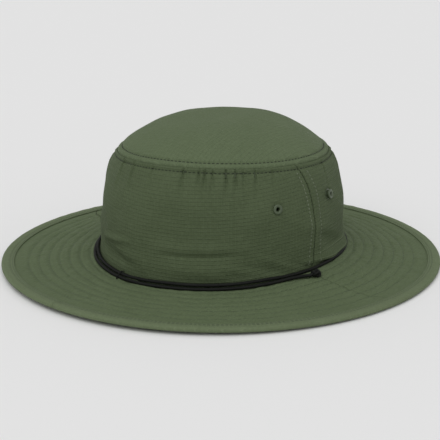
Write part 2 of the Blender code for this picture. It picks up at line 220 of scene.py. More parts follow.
def smooth_points(stops, steps=24):
    """Points on a Catmull-Rom curve through the stops."""
    ends = [stops[0], *stops, stops[-1]]
    points = []
    for i in range(len(stops) - 1):
        before, first, second, after = (Vector(stop) for stop in ends[i : i + 4])
        for step in range(steps):
            t = step / steps
            bend = 2 * before - 5 * first + 4 * second - after
            twist = 3 * first - before - 3 * second + after
            points.append((2 * first + (second - before) * t + bend * t**2 + twist * t**3) / 2)
    points.append(Vector(stops[-1]))
    return points


def plaited_tube(shape, path, diameter, sides, plait_depth, plait_pitch):
    """Adds a closed round cord along an evenly stepped path, its yarns raised in a crossing plait."""
    heading = (path[1] - path[0]).normalized()
    across = heading.orthogonal().normalized()
    frames = []
    for i in range(len(path)):
        heading = (path[min(i + 1, len(path) - 1)] - path[max(i - 1, 0)]).normalized()
        across = (across - heading * across.dot(heading)).normalized()
        frames.append((path[i], across, heading.cross(across)))
    step = (path[1] - path[0]).length
    piece = bmesh.new()
    bmesh.ops.create_grid(piece, x_segments=sides, y_segments=len(path) - 1, size=1.0)
    chart = piece.loops.layers.uv.new("cloth")
    for corner in piece.verts:
        turn = math.pi * (corner.co.x + 1)
        i = round((corner.co.y + 1) / 2 * (len(path) - 1))
        phase = math.pi * i * step / plait_pitch
        yarn = max(math.cos(3 * turn + phase) ** 2, math.cos(3 * turn - phase) ** 2)
        radius = diameter / 2 - plait_depth * (1 - yarn)
        middle, side, top = frames[i]
        corner.co = middle + (side * math.cos(turn) + top * math.sin(turn)) * radius
        for loop in corner.link_loops:
            loop[chart].uv = (turn * diameter / 2, i * step)
    bmesh.ops.remove_doubles(piece, verts=piece.verts, dist=1e-6)
    bmesh.ops.holes_fill(piece, edges=[edge for edge in piece.edges if edge.is_boundary], sides=0)
    bmesh.ops.recalc_face_normals(piece, faces=piece.faces)
    tube_mesh = bpy.data.meshes.new("tube")
    piece.to_mesh(tube_mesh)
    piece.free()
    shape.from_mesh(tube_mesh)
    bpy.data.meshes.remove(tube_mesh)


def piece_from(name, shape, finish):
    """The shape as a smooth-shaded object of that name and finish."""
    made = bpy.data.meshes.new(name)
    shape.to_mesh(made)
    shape.free()
    made.shade_smooth()
    made.materials.append(finish)
    piece = bpy.data.objects.new(name, made)
    bpy.context.scene.collection.objects.link(piece)
    return piece


def hand_in(piece, slot, *nodes, body="hat"):
    """The piece goes with a body and stands for its CAD nodes. The slot argument is not used."""
    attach(piece, body)
    if nodes:
        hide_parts(*nodes)


def wire(tree, kind, **inputs):
    """A node with some inputs set or linked, by socket name or index."""
    node = tree.nodes.new(kind)
    for key, value in inputs.items():
        socket = node.inputs[int(key[1:]) if key[0] == "i" and key[1:].isdigit() else key]
        if isinstance(value, bpy.types.NodeSocket):
            tree.links.new(value, socket)
        else:
            socket.default_value = value
    return node


def math_node(tree, operation, first, second=0.0, third=0.0):
    node = wire(tree, "ShaderNodeMath", i0=first, i1=second, i2=third)
    node.operation = operation
    return node.outputs[0]


def tone_range(tree, factor, dark, light):
    """Colours from dark to light along a factor."""
    ramp = wire(tree, "ShaderNodeValToRGB", i0=factor)
    ramp.color_ramp.elements[0].color = (*dark, 1.0)
    ramp.color_ramp.elements[1].color = (*light, 1.0)
    return ramp.outputs[0]


def piece_spot(tree):
    """Where on the piece a point lies, in its own coordinates."""
    return wire(tree, "ShaderNodeTexCoord").outputs["Object"]


def fuzz(tree, vector, scale, detail=3.0):
    return wire(tree, "ShaderNodeTexNoise", Vector=vector, Scale=scale, Detail=detail).outputs[0]


def colour_and_relief(tree, shader, tone, dark, light, height, strength, distance, invert=False):
    """Colours the shader from dark to light along a tone, and raises its surface by a height."""
    tree.links.new(tone_range(tree, tone, dark, light), shader.inputs["Base Color"])
    bump = wire(tree, "ShaderNodeBump", Height=height, Strength=strength, Distance=distance)
    bump.invert = invert
    tree.links.new(bump.outputs[0], shader.inputs["Normal"])


def cord_finish(name, dark, light):
    """Plaited polyester: fine filaments along the yarns, a soft sheen and slightly greyed high spots."""
    finish, tree, shader = new_finish(name, dark, 0.6)
    shader.inputs["Sheen Weight"].default_value = 0.01
    shader.inputs["Specular IOR Level"].default_value = 0.14
    spot = piece_spot(tree)
    filament = fuzz(tree, spot, 5200.0)
    wear = fuzz(tree, spot, 160.0)
    mixed = math_node(tree, "MULTIPLY_ADD", filament, 0.6, math_node(tree, "MULTIPLY", wear, 0.4))
    colour_and_relief(tree, shader, mixed, dark, light, filament, 0.5, 0.00008)
    return finish


cord_black = cord_finish("cord_black", (0.001, 0.001, 0.001), (0.014, 0.016, 0.013))
stops = [(bearing, out / 1000, up / 1000) for bearing, out, up in CORD_ROUTE]
cord_path = even_points([beside_crown(*stop) for stop in smooth_points(stops)], CORD_STEP)
cord_shape = bmesh.new()
plaited_tube(cord_shape, cord_path, CORD_DIAMETER, CORD_SIDES, PLAIT_DEPTH, PLAIT_PITCH)
cord = piece_from("cord", cord_shape, cord_black)
hand_in(cord, "cord_black", "hat_cord")

# --------------------------------------
# Knots: each end of the cord is tied in a tight overhand knot that lies on the brim, with a few
# millimetres of melted end standing out of it.
# --------------------------------------
KNOT_CORD = 0.0024
KNOT_SCALE = 0.00096
KNOT_FLATNESS = 0.92
KNOT_STEPS = 110
KNOT_REACH = 0.0036


def knot_piece(name, end, before):
    heading = (end - before).normalized()
    level = Vector((heading.x, heading.y, 0.0)).normalized()
    sideways = Vector((-level.y, level.x, 0.0))
    up = Vector((0.0, 0.0, 1.0))
    middle = end + level * (KNOT_REACH + 0.0003) + up * 0.0010
    winding = []
    for n in range(KNOT_STEPS + 1):
        turn = math.tau * n / KNOT_STEPS
        reach = 2 + math.cos(3 * turn)
        winding.append(
            middle
            + level * (KNOT_SCALE * reach * math.cos(2 * turn))
            + sideways * (KNOT_SCALE * KNOT_FLATNESS * reach * math.sin(2 * turn))
            + up * (KNOT_SCALE * 1.5 * math.sin(3 * turn) + 0.0004 * math.sin(turn))
        )
    shape = bmesh.new()
    plaited_tube(shape, even_points(winding, CORD_STEP), KNOT_CORD, CORD_SIDES, PLAIT_DEPTH, PLAIT_PITCH)
    tails = (
        (middle + level * 0.0012, middle + level * 0.0032 + sideways * 0.0012, middle + level * 0.0034
         + sideways * 0.0034 - up * 0.0008),
        (middle - level * 0.0006, middle - level * 0.0024 - up * 0.0002, end - heading * 0.0012),
    )
    for tail in tails:
        route = even_points(smooth_points(tail, 12), CORD_STEP)
        plaited_tube(shape, route, KNOT_CORD, CORD_SIDES, PLAIT_DEPTH, PLAIT_PITCH)
    return piece_from(name, shape, cord_black)


knot_left = knot_piece("knot_left", cord_path[0], cord_path[12])
hand_in(knot_left, "cord_black", "cord_knot_left")
knot_right = knot_piece("knot_right", cord_path[-1], cord_path[-13])
hand_in(knot_right, "cord_black", "cord_knot_right")

# --------------------------------------
# Tacks: a bar of black thread, three passes side by side, holds the cord down at the front and the back.
# --------------------------------------
TACK_PASSES = 3
TACK_SPREAD = 0.26
TACK_THREAD = 0.00045
# Bearing, then millimetres out from the band and up from the brim, along each crossing
TACK_WAYS = {
    "front": (-4.0, ((0.5, 4.3), (2.6, 4.7), (4.4, 4.1), (6.1, 3.2), (7.1, 2.0), (7.3, 0.3))),
    "back": (176.0, ((0.4, 2.9), (2.0, 3.2), (3.2, 2.4), (3.5, 1.2), (3.6, 0.3))),
}
for end, (bearing, crossing) in TACK_WAYS.items():
    tack_shape = bmesh.new()
    for n in range(TACK_PASSES):
        turned = bearing + TACK_SPREAD * (n - (TACK_PASSES - 1) / 2)
        way = [Vector(beside_crown(turned, out / 1000, up / 1000)) for out, up in crossing]
        plaited_tube(tack_shape, even_points(smooth_points(way, 8), 0.0003), TACK_THREAD, 8, 0.00005, 0.0009)
    tack = piece_from(f"tack_{end}", tack_shape, cord_black)
    hand_in(tack, "cord_black", f"cord_tack_{end}")

# --------------------------------------
# Brim: two half rings of ripstop above and two below, over a stiff interlining, all held by seven
# rings of lockstitch. The halves meet at a seam each side that runs out in a slight curve.
# --------------------------------------
BRIM_WIDTH = 0.0735
BRIM_MARGIN = 0.0045
PLY_END = 0.072
BINDING_START = 0.064
STITCH_ROWS = [0.0078 + 0.0076 * n for n in range(7)]
QUILT_SWELL = 0.00040
QUILT_DIP = 0.00075
QUILT_REACH = 0.0012
BRIM_CLOTH = 0.0005
UNDER_DEPTH = 0.0022
UNDER_CLOSED = 0.0012
BRIM_COLUMNS = 300
BRIM_STEPS = 84
UNDER_COLUMNS = 240
UNDER_STEPS = 66
RIPSTOP_PITCH = 0.0026
STITCH_PITCH = 0.0031
STITCH_SIZE = (0.0023, 0.00056, 0.00042)
BRIM_SEAM_START = -2.5
BRIM_SEAM_SWEEP = 11.0
CALM_REACH = 0.006
# Size and height of each of the brim's slight waves
BRIM_WAVES = ((0.034, 0.0005), (0.017, 0.0005), (0.0075, 0.0006), (0.0036, 0.00035))
EDGE_LIFT = 0.0026
EDGE_LIFT_BEARING = 5.0
EDGE_LIFT_FOCUS = 3.0

BRIM_DARK = (0.068, 0.095, 0.043)
BRIM_LIGHT = (0.132, 0.172, 0.092)


def sewn_cloth(name, place, columns, rows, thickness, finish, holes=()):
    """A cloth piece: a grid whose corners go where place puts their two shares, thickened inwards.

    place gives the point and the corner's spot on the flat cloth. Holes are (centre, radius)."""
    shape = bmesh.new()
    bmesh.ops.create_grid(shape, x_segments=columns, y_segments=rows, size=1.0)
    chart = shape.loops.layers.uv.new("cloth")
    for corner in shape.verts:
        spot, flat = place((corner.co.x + 1) / 2, (corner.co.y + 1) / 2)
        corner.co = spot
        for loop in corner.link_loops:
            loop[chart].uv = flat
    bmesh.ops.remove_doubles(shape, verts=shape.verts, dist=1e-6)
    for centre, radius in holes:
        cut = [face for face in shape.faces if (face.calc_center_median() - centre).length < radius]
        bmesh.ops.delete(shape, geom=cut, context="FACES")
    piece = piece_from(name, shape, finish)
    ply = piece.modifiers.new("Ply", "SOLIDIFY")
    ply.thickness = thickness
    ply.offset = -1.0
    return piece


def ripstop(name, dark, light, grain=None, rib=1.0):
    """Plain-woven nylon with squares of heavier threads, softly mottled.

    With a grain, an angle, it is cut flat across the hat, and otherwise it follows the piece."""
    finish, tree, shader = new_finish(name, dark, 0.78)
    shader.inputs["Sheen Weight"].default_value = 0.04
    shader.inputs["Sheen Roughness"].default_value = 0.5
    shader.inputs["Sheen Tint"].default_value = (0.62, 0.80, 0.45, 1.0)
    shader.inputs["Specular IOR Level"].default_value = 0.18
    coords = wire(tree, "ShaderNodeTexCoord")
    spot = coords.outputs["Object"]
    flat = coords.outputs["UV"]
    if grain is not None:
        flat = wire(tree, "ShaderNodeMapping", Vector=spot, Rotation=(0.0, 0.0, grain)).outputs[0]
    threads = []
    weave = []
    for axis in range(2):
        along = wire(tree, "ShaderNodeSeparateXYZ", Vector=flat).outputs[axis]
        cell = math_node(tree, "PINGPONG", math_node(tree, "DIVIDE", along, RIPSTOP_PITCH), 0.5)
        thread = wire(tree, "ShaderNodeMapRange", i0=cell, i1=0.0, i2=0.13, i3=1.0, i4=0.0)
        thread.interpolation_type = "SMOOTHSTEP"
        threads.append(thread.outputs[0])
        weave.append(math_node(tree, "PINGPONG", math_node(tree, "DIVIDE", along, 0.00052), 0.5))
    strong, faint = threads if grain is not None else reversed(threads)
    heavy = math_node(tree, "MAXIMUM", strong, math_node(tree, "MULTIPLY", faint, 0.55))
    fine = math_node(tree, "MULTIPLY", weave[0], weave[1])
    broad = fuzz(tree, spot, 26.0)
    mottle = fuzz(tree, spot, 420.0)
    tone = math_node(tree, "MULTIPLY_ADD", broad, 0.32, math_node(tree, "MULTIPLY", mottle, 0.55))
    tone = math_node(tree, "MULTIPLY_ADD", heavy, 0.34 * rib, tone)
    tone = math_node(tree, "MULTIPLY_ADD", fine, 0.3, tone)
    height = math_node(tree, "MULTIPLY_ADD", heavy, rib, math_node(tree, "MULTIPLY", fine, 1.4))
    height = math_node(tree, "MULTIPLY_ADD", mottle, 0.8, height)
    colour_and_relief(tree, shader, tone, dark, light, height, 1.0, 0.00028)
    return finish


def thread_finish(name, dark, light):
    """Spun thread: a light twist along each stitch and a little sheen."""
    finish, tree, shader = new_finish(name, dark, 0.6)
    shader.inputs["Sheen Weight"].default_value = 0.05
    shader.inputs["Specular IOR Level"].default_value = 0.25
    spot = piece_spot(tree)
    twist = fuzz(tree, spot, 3000.0)
    colour_and_relief(tree, shader, twist, dark, light, twist, 0.4, 0.00005)
    return finish


stitch_shape = bmesh.new()
bmesh.ops.create_uvsphere(stitch_shape, u_segments=6, v_segments=4, radius=0.5)
bmesh.ops.rotate(stitch_shape, verts=stitch_shape.verts, matrix=Matrix.Rotation(math.radians(90), 3, "Y"))
one_stitch = bpy.data.meshes.new("one_stitch")
stitch_shape.to_mesh(one_stitch)
stitch_shape.free()


def sew(target, line, count, size=STITCH_SIZE, sunk=0.25):
    """Adds a row of stitches to a mesh. line gives a point at a share of the row and a height over it."""
    length, width, height = size
    for n in range(count):
        share = (n + 0.5) / count
        near = 0.1 / count
        along = (line(share + near, 0.0) - line(share - near, 0.0)).normalized()
        up = (line(share, 0.001) - line(share, 0.0)).normalized()
        side = up.cross(along).normalized()
        up = along.cross(side)
        middle = line(share, height * (0.5 - sunk))
        turn = Matrix((along, side, up)).transposed().to_4x4()
        stitch = one_stitch.copy()
        stitch.transform(Matrix.Translation(middle) @ turn @ Matrix.Diagonal((length, width, height, 1.0)))
        target.from_mesh(stitch)
        bpy.data.meshes.remove(stitch)


def hump(away, width):
    """1 at no distance away, falling off over about this width."""
    return math.exp(-((away / width) ** 2))


def hand_in_row(name, rows, thread, slot):
    """The stitches as one piece of thread. They ride the hat and stand for no CAD node."""
    hand_in(piece_from(name, rows, thread), slot)


def quilting(out):
    """How far the rings of stitching raise and draw down the brim's cloth at a distance out."""
    nearest = min(abs(out - row) for row in STITCH_ROWS)
    return QUILT_SWELL - QUILT_DIP * hump(nearest, QUILT_REACH)


def rumple(spot, size, height):
    """A soft unevenness of the cloth, of this size and height."""
    return height * noise.noise(spot / size)


def brim_seam(out):
    """How many degrees behind the side the radial seam lies: it curves back towards the edge."""
    return BRIM_SEAM_START + BRIM_SEAM_SWEEP * held(out / BRIM_WIDTH) ** 5


def edge_lift(bearing, out):
    """How far the brim stands off the ground in its one slow wave, at the front."""
    share = held(out / BRIM_WIDTH) ** 1.5
    turn = math.radians(bearing - EDGE_LIFT_BEARING)
    return EDGE_LIFT * share * ((1 + math.cos(turn)) / 2) ** EDGE_LIFT_FOCUS


def brim_wave(bearing, out):
    """The slight waves of the quilted brim, which its plies share and its binding calms."""
    calm = held((BINDING_START - out) / CALM_REACH)
    spot = around_crown(bearing, out, 0.0)
    wave = sum(rumple(spot, size, height) for size, height in BRIM_WAVES)
    return edge_lift(bearing, out) + calm * wave, calm * quilting(out)


def brim_face(bearing, out, up):
    """A point over the upper face of the brim's cloth."""
    return beside_crown(bearing, out, up + sum(brim_wave(bearing, out)))


def under_face(bearing, out, up):
    """A point under the lower face of the brim's cloth, as far down as up says."""
    closing = held((out - BRIM_LEVEL_FROM) / (BINDING_START - BRIM_LEVEL_FROM))
    depth = UNDER_DEPTH + (UNDER_CLOSED - UNDER_DEPTH) * closing
    wave, quilt = brim_wave(bearing, out)
    spot = beside_crown(bearing, out, wave - quilt - depth - up)
    spot.z = max(spot.z, 0.0001)
    return spot


def arc(bearing):
    """The length round the crown that an angle stands for."""
    return math.radians(bearing) * MEAN_RADIUS


def half_ring(face, middle):
    """A place function for the half of the brim round that bearing."""
    side = 1 if middle == 0 else -1

    def place(across, inward):
        out = PLY_END + (-BRIM_MARGIN - PLY_END) * inward
        gap = math.degrees(SEAM_GAP / 2 / (MEAN_RADIUS + out))
        reach = 90 + side * brim_seam(out) - gap
        bearing = middle + reach * (2 * across - 1)
        return face(bearing, out, 0.0), (arc(bearing), out)

    return place


brim_green = ripstop("brim_ripstop", BRIM_DARK, BRIM_LIGHT, grain=math.radians(-18))
thread_green = thread_finish("sewing_thread", (0.050, 0.072, 0.036), (0.098, 0.130, 0.075))
for end, middle in (("front", 0), ("rear", 180)):
    upper = sewn_cloth(f"brim_top_{end}", half_ring(brim_face, middle), BRIM_COLUMNS, BRIM_STEPS,
                       BRIM_CLOTH, brim_green)
    hand_in(upper, "ripstop_green", f"brim_upper_{end}")
    lower = sewn_cloth(f"brim_lining_{end}", half_ring(under_face, middle), UNDER_COLUMNS, UNDER_STEPS,
                       BRIM_CLOTH, brim_green)
    hand_in(lower, "ripstop_green", f"brim_under_{end}")

for name, face in (("brim_stitches_top", brim_face), ("brim_stitches_under", under_face)):
    rings = bmesh.new()
    depth = 0.0 if face == brim_face else BRIM_CLOTH
    for out in STITCH_ROWS:
        count = round(math.tau * (MEAN_RADIUS + out) / STITCH_PITCH)
        sew(rings, lambda share, up: face(360 * share, out, depth + up), count)
    hand_in_row(name, rings, thread_green, "ripstop_green")

# --------------------------------------
# Interlining: a stiff non-woven ring between the brim's cloths, which hide it.
# --------------------------------------
INTERLINING_EDGE = -0.0032
INTERLINING_DEPTH = 0.0010
INTERLINING_CLOTH = 0.0004
FELT_DARK = (0.48, 0.48, 0.45)
FELT_LIGHT = (0.66, 0.66, 0.62)

felt, felt_tree, felt_shader = new_finish("non_woven", (0.55, 0.55, 0.52), 0.95)
felt_fibre = fuzz(felt_tree, piece_spot(felt_tree), 900.0, 6.0)
colour_and_relief(felt_tree, felt_shader, felt_fibre, FELT_DARK, FELT_LIGHT, felt_fibre, 0.7, 0.0002)


def interlining_place(across, inward):
    bearing = 360 * across
    out = BRIM_LEVEL_FROM + (INTERLINING_EDGE - BRIM_LEVEL_FROM) * inward
    wave, _ = brim_wave(bearing, out)
    return beside_crown(bearing, out, wave - INTERLINING_DEPTH), (arc(bearing), out)


interlining = sewn_cloth("stiff_interlining", interlining_place, UNDER_COLUMNS, 40, INTERLINING_CLOTH, felt)
hand_in(interlining, "interlining", "brim_interlining")

# --------------------------------------
# Edge binding: a strip of the same cloth folded over the brim's edge and sewn twice, so it puckers a
# little between the rows and rolls round outside.
# --------------------------------------
EDGE_THICKNESS = 0.0039
BINDING_PLY = 0.0005
BINDING_ROWS = (0.0653, 0.0672)
BINDING_COLUMNS = 480
FOLD_STEPS = 44
BINDING_DIP = 0.00032
BINDING_EDGE_DIP = 0.0003
CRIMP_SIZE = (0.006, 0.004)
CRIMP_HEIGHT = 0.00022


def fold_section(along):
    """Out and height along the fold, from its upper inner edge round the nose to its lower inner edge."""
    half = EDGE_THICKNESS / 2
    lap = BRIM_WIDTH - half - BINDING_START
    bow = math.pi * half
    run = along * (2 * lap + bow)
    if run < lap:
        return BINDING_START + run, EDGE_THICKNESS
    if run > lap + bow:
        return BINDING_START + lap - (run - lap - bow), 0.0
    turn = (run - lap) / half
    return BINDING_START + lap + half * math.sin(turn), half + half * math.cos(turn)


def binding_face(bearing, along, up):
    out, height = fold_section(along)
    tilt = height / EDGE_THICKNESS
    if height >= EDGE_THICKNESS:
        draw = sum(hump(out - row, 0.0007) for row in BINDING_ROWS)
        height -= BINDING_DIP * draw + BINDING_EDGE_DIP * hump(out - BINDING_START, 0.0006)
    spot = around_crown(bearing, out, height + up + edge_lift(bearing, out))
    around = arc(bearing) * 1.7
    crimp = noise.noise(Vector((around / CRIMP_SIZE[0], out / CRIMP_SIZE[1], 0.0)))
    spot.z += tilt * CRIMP_HEIGHT * crimp
    return spot


def binding_place(across, along):
    bearing = 360 * (1 - across)
    out, height = fold_section(along)
    flat = (math.radians(bearing) * (MEAN_RADIUS + BRIM_WIDTH), along * 0.022)
    return binding_face(bearing, along, 0.0), flat


# The binding is the brim's own cloth coloured lighter: a painted highlight on the rolled edge.
BINDING_LIT_DARK = (0.096, 0.126, 0.064)
BINDING_LIT_LIGHT = (0.166, 0.208, 0.118)
binding_green_lit = ripstop("binding_ripstop_painted_highlight", BINDING_LIT_DARK, BINDING_LIT_LIGHT, grain=math.radians(30))
binding = sewn_cloth("edge_binding", binding_place, BINDING_COLUMNS, FOLD_STEPS, BINDING_PLY, binding_green_lit)
hand_in(binding, "ripstop_green", "brim_edge_binding")
binding_length = math.tau * (MEAN_RADIUS + BRIM_WIDTH)

binding_rows = bmesh.new()
for out in BINDING_ROWS:
    lap_share = (out - BINDING_START) / (2 * (BRIM_WIDTH - EDGE_THICKNESS / 2 - BINDING_START)
                                         + math.pi * EDGE_THICKNESS / 2)
    count = round(binding_length / STITCH_PITCH)
    sew(binding_rows, lambda share, up: binding_face(360 * share, lap_share, up), count)
hand_in_row("binding_stitches", binding_rows, thread_green, "ripstop_green")

# --------------------------------------
# Side band: two panels of the same ripstop from the brim up to the crown seam, unlined and soft. It
# is gathered a little into the crown seam, and it sags in shallow folds above the cord.
# --------------------------------------
SEAM_HEIGHT = 0.084
SEAM_RISE = 0.007
BAND_LEAN = 0.0038
SHOULDER_TUCK = 0.0094
SHOULDER_SHARPNESS = 4.65
PANEL = 0.0005
BAND_ROW_DROP = 0.0031
# Distance below the crown seam, width and rise of the seam, the ridge under it and the stitch row
BAND_LINES = ((0.0, 0.0006, -0.0007), (0.0016, 0.0008, 0.0003), (BAND_ROW_DROP, 0.0008, -0.0009))
SEAM_ROWS = (-0.0042, 0.0075)
SEAM_GROOVE = 0.0007
SEAM_PLY = 0.0003
SEAM_LINE = 0.0006
STITCH_DIP = 0.00035
BAND_SEAM_BACK = 2.4
BAND_SEAM_FORWARD = 4.3
CROWN_STITCH = (0.0022, 0.0010, 0.0006)
SEAM_CALM = 0.010
ROOT_CALM = 0.008
BAND_WAVES = ((0.036, 0.0020), (0.015, 0.0007))
BAND_COLUMNS = 330
BAND_STEPS = 104
SWEATBAND_TOP = 0.036
DEEPEST = 0.0008
LIP_LEVEL = 0.0070
LIP_HEIGHT = 0.0026
LIP_OUT = 0.0031
LIP_DROP = 0.0056
LIP_FROM = (82, 108)
LIP_UNTIL = (150, 168)
EYELET_AHEAD = 18.8
EYELET_BEHIND = 16.8
EYELET_LEVEL = 0.0604
EYELET_HOLE = 0.0027
EYELET_RING = 0.0041
EYELET_PRESS = 0.0006
EYELETS = {
    "left_front": 90 - EYELET_AHEAD,
    "left_rear": 90 + EYELET_BEHIND,
    "right_front": -90 + EYELET_AHEAD,
    "right_rear": -90 - EYELET_BEHIND,
}
# The band is the same ripstop as the brim and tip, coloured darker: painted shade on the upright band.
BAND_SHADED_DARK = (0.052, 0.073, 0.032)
BAND_SHADED_LIGHT = (0.112, 0.146, 0.078)
GATHER_WIDTH = 0.0010
GATHER_SPREAD = 0.11
GATHER_LENGTH = 0.010
GATHER_DEPTH = 0.0044
# Bearings of the gathers under the crown seam, and how deep each is, as a share of GATHER_DEPTH
GATHERS = (
    (-148, 0.5), (-121, 0.7), (-112, 0.5), (-88, 0.5), (-61, 0.6), (-44, 0.5), (-17, 0.5), (-6, 0.6),
    (8, 0.4), (25.8, 0.9), (33.9, 0.7), (36.9, 0.9), (40.7, 0.7), (47.3, 1.0), (52, 0.9), (56, 0.5),
    (62, 0.8), (71, 0.4), (108, 0.5), (131, 0.7), (139, 0.6), (166, 0.5), (181, 0.7), (194, 0.5),
)
# Soft folds: bearing and height of each end, then width and height in millimetres
FOLDS = (
    (18, 0.0290, 54, 0.0300, 1.7, -0.9),
    (15, 0.0340, 56, 0.0350, 3.8, 1.0),
    (18, 0.0200, 46, 0.0185, 5.5, 1.3),
    (-26, 0.0290, -2, 0.0330, 2.6, 1.7),
    (-24, 0.0215, 0, 0.0175, 3.4, -1.9),
    (-14, 0.0270, 8, 0.0205, 4.0, 0.5),
    (92, 0.0380, 120, 0.0150, 5.0, -1.6),
    (82, 0.0460, 112, 0.0290, 5.5, 1.2),
    (62, 0.0270, 84, 0.0150, 2.4, 0.9),
    (58, 0.0215, 76, 0.0125, 2.2, -0.8),
    (70, 0.0230, 90, 0.0130, 2.0, -0.7),
    (44, 0.0230, 60, 0.0150, 2.6, 0.6),
    (-75, 0.0400, -45, 0.0330, 4.0, 0.8),
    (-70, 0.0320, -42, 0.0270, 2.6, -0.7),
    (-130, 0.0480, -105, 0.0300, 4.5, 0.8),
    (140, 0.0520, 172, 0.0420, 4.0, 0.8),
    (146, 0.0430, 176, 0.0350, 2.6, -0.7),
    (196, 0.0380, 224, 0.0480, 4.5, 0.8),
)


def seam_height(bearing):
    return SEAM_HEIGHT + SEAM_RISE * slump(bearing)


def band_tall(bearing):
    return seam_height(bearing) - root_height(bearing)


def crossing(bearing, height, fold):
    """How strongly a soft fold shows at a place on the band."""
    start, low, finish, high, width, rise = fold
    run = arc(finish - start)
    climb = high - low
    side = arc(turn_between(bearing, start))
    share = held((side * run + (height - low) * climb) / (run * run + climb * climb))
    away = math.hypot(side - run * share, height - low - climb * share)
    ends = math.sin(math.pi * min(max(share, 0.08), 0.92)) ** 0.5
    return rise / 1000 * ends * hump(away, width / 1000)


def band_seam(rise):
    """How many degrees behind the side the band's seam lies: it wanders back, then forward at the top."""
    return BAND_SEAM_BACK * math.sin(math.pi * held(rise)) - BAND_SEAM_FORWARD * max(rise, 0.0) ** 8


def band_relief(bearing, height):
    """How far the band's cloth stands proud of its plain shape."""
    drop = seam_height(bearing) - height
    seam = 90 + band_seam((height - root_height(bearing)) / band_tall(bearing))
    relief = sum(crossing(bearing, height, fold) for fold in FOLDS)
    for centre, depth in GATHERS:
        side = arc(turn_between(bearing, centre))
        width = GATHER_WIDTH + GATHER_SPREAD * max(drop - 0.004, 0.0)
        if abs(side) < 4 * width:
            fade = math.exp(-max(drop - 0.005, 0.0) / GATHER_LENGTH) * held(drop / GATHER_WIDTH)
            bead = hump(side, width) - 0.55 * hump(side, width * 1.9)
            relief -= depth * GATHER_DEPTH * fade * bead
    relief += sum(rise * hump(drop - place, width) for place, width, rise in BAND_LINES)
    turned = math.radians(bearing)
    spot = Vector((MEAN_RADIUS * math.sin(turned), height, MEAN_RADIUS * math.cos(turned)))
    calm = held(drop / SEAM_CALM) * held((height - root_height(bearing)) / ROOT_CALM)
    relief += calm * sum(rumple(spot, size, rise) for size, rise in BAND_WAVES)
    for centre in EYELETS.values():
        side = arc(turn_between(bearing, centre))
        away = math.hypot(side, height - EYELET_LEVEL)
        relief -= EYELET_PRESS * hump(away - EYELET_RING, 0.0007)
    for turn in (1, -1):
        side = turn * arc(turn_between(bearing, turn * seam))
        relief -= SEAM_GROOVE * hump(side, SEAM_LINE)
        relief += SEAM_PLY * math.exp(-(((side - 0.002) / 0.0055) ** 4))
        relief -= STITCH_DIP * sum(hump(side - row, SEAM_LINE) for row in SEAM_ROWS)
    if height - root_height(bearing) < SWEATBAND_TOP and relief < -DEEPEST:
        relief = -DEEPEST - DEEPEST * (1 - math.exp((relief + DEEPEST) / DEEPEST))
    return relief


def band_point(bearing, rise, depth):
    """On the side band, at a share of its height from root to seam, this deep under its face."""
    tall = band_tall(bearing)
    out = -BAND_LEAN * rise - SHOULDER_TUCK * rise**SHOULDER_SHARPNESS
    slope = -BAND_LEAN - SHOULDER_TUCK * SHOULDER_SHARPNESS * rise ** (SHOULDER_SHARPNESS - 1)
    steep = math.hypot(tall, slope)
    height = root_height(bearing) + tall * rise
    return around_crown(bearing, out - depth * tall / steep, height + depth * slope / steep)


def band_share(bearing, height):
    return height / band_tall(bearing)


def lip(bearing, height):
    """How strongly the band's cloth bags out and down over the cord behind the left seam."""
    begun = held((bearing % 360 - LIP_FROM[0]) / (LIP_FROM[1] - LIP_FROM[0]))
    ended = held((LIP_UNTIL[1] - bearing % 360) / (LIP_UNTIL[1] - LIP_UNTIL[0]))
    return begun * ended * hump(height - root_height(bearing) - LIP_LEVEL, LIP_HEIGHT)


def band_face(bearing, rise, up):
    height = root_height(bearing) + band_tall(bearing) * rise
    bagged = lip(bearing, height)
    spot = band_point(bearing, rise, -up - band_relief(bearing, height) - LIP_OUT * bagged)
    spot.z -= LIP_DROP * bagged
    return spot


def half_band(middle):
    side = 1 if middle == 0 else -1

    def place(across, rise):
        reach = 90 + side * band_seam(rise) - math.degrees(SEAM_GAP / 4 / MEAN_RADIUS)
        bearing = middle + reach * (2 * across - 1)
        return band_face(bearing, rise, 0.0), (arc(bearing), rise * band_tall(bearing))

    return place


def eyelet_frame(bearing):
    """A frame on the band's face: its Z axis points straight out of the cloth."""
    rise = band_share(bearing, EYELET_LEVEL - root_height(bearing))
    middle = band_point(bearing, rise, 0.0)
    outwards = (middle - band_point(bearing, rise, 0.001)).normalized()
    return Matrix.Translation(middle) @ outwards.to_track_quat("Z", "Y").to_matrix().to_4x4()


# The band's ripstop is a darker copy of the hat's one cloth: painted shade.
band_green_shaded = ripstop("band_ripstop_painted_shade", BAND_SHADED_DARK, BAND_SHADED_LIGHT, rib=1.7)
eyelet_holes = [(eyelet_frame(bearing).translation, EYELET_HOLE) for bearing in EYELETS.values()]
for end, middle in (("front", 0), ("rear", 180)):
    panel = sewn_cloth(f"band_{end}", half_band(middle), BAND_COLUMNS, BAND_STEPS, PANEL, band_green_shaded,
                       eyelet_holes)
    hand_in(panel, "ripstop_band", f"side_band_{end}")

seam_rows = bmesh.new()
for turn in (1, -1):
    for row in SEAM_ROWS:
        beside = 90 + math.degrees(row / MEAN_RADIUS)

        def seam_line(share, up):
            rise = 0.04 + 0.90 * share
            return band_face(turn * (beside + band_seam(rise)), rise, up)

        sew(seam_rows, seam_line, 24, CROWN_STITCH)
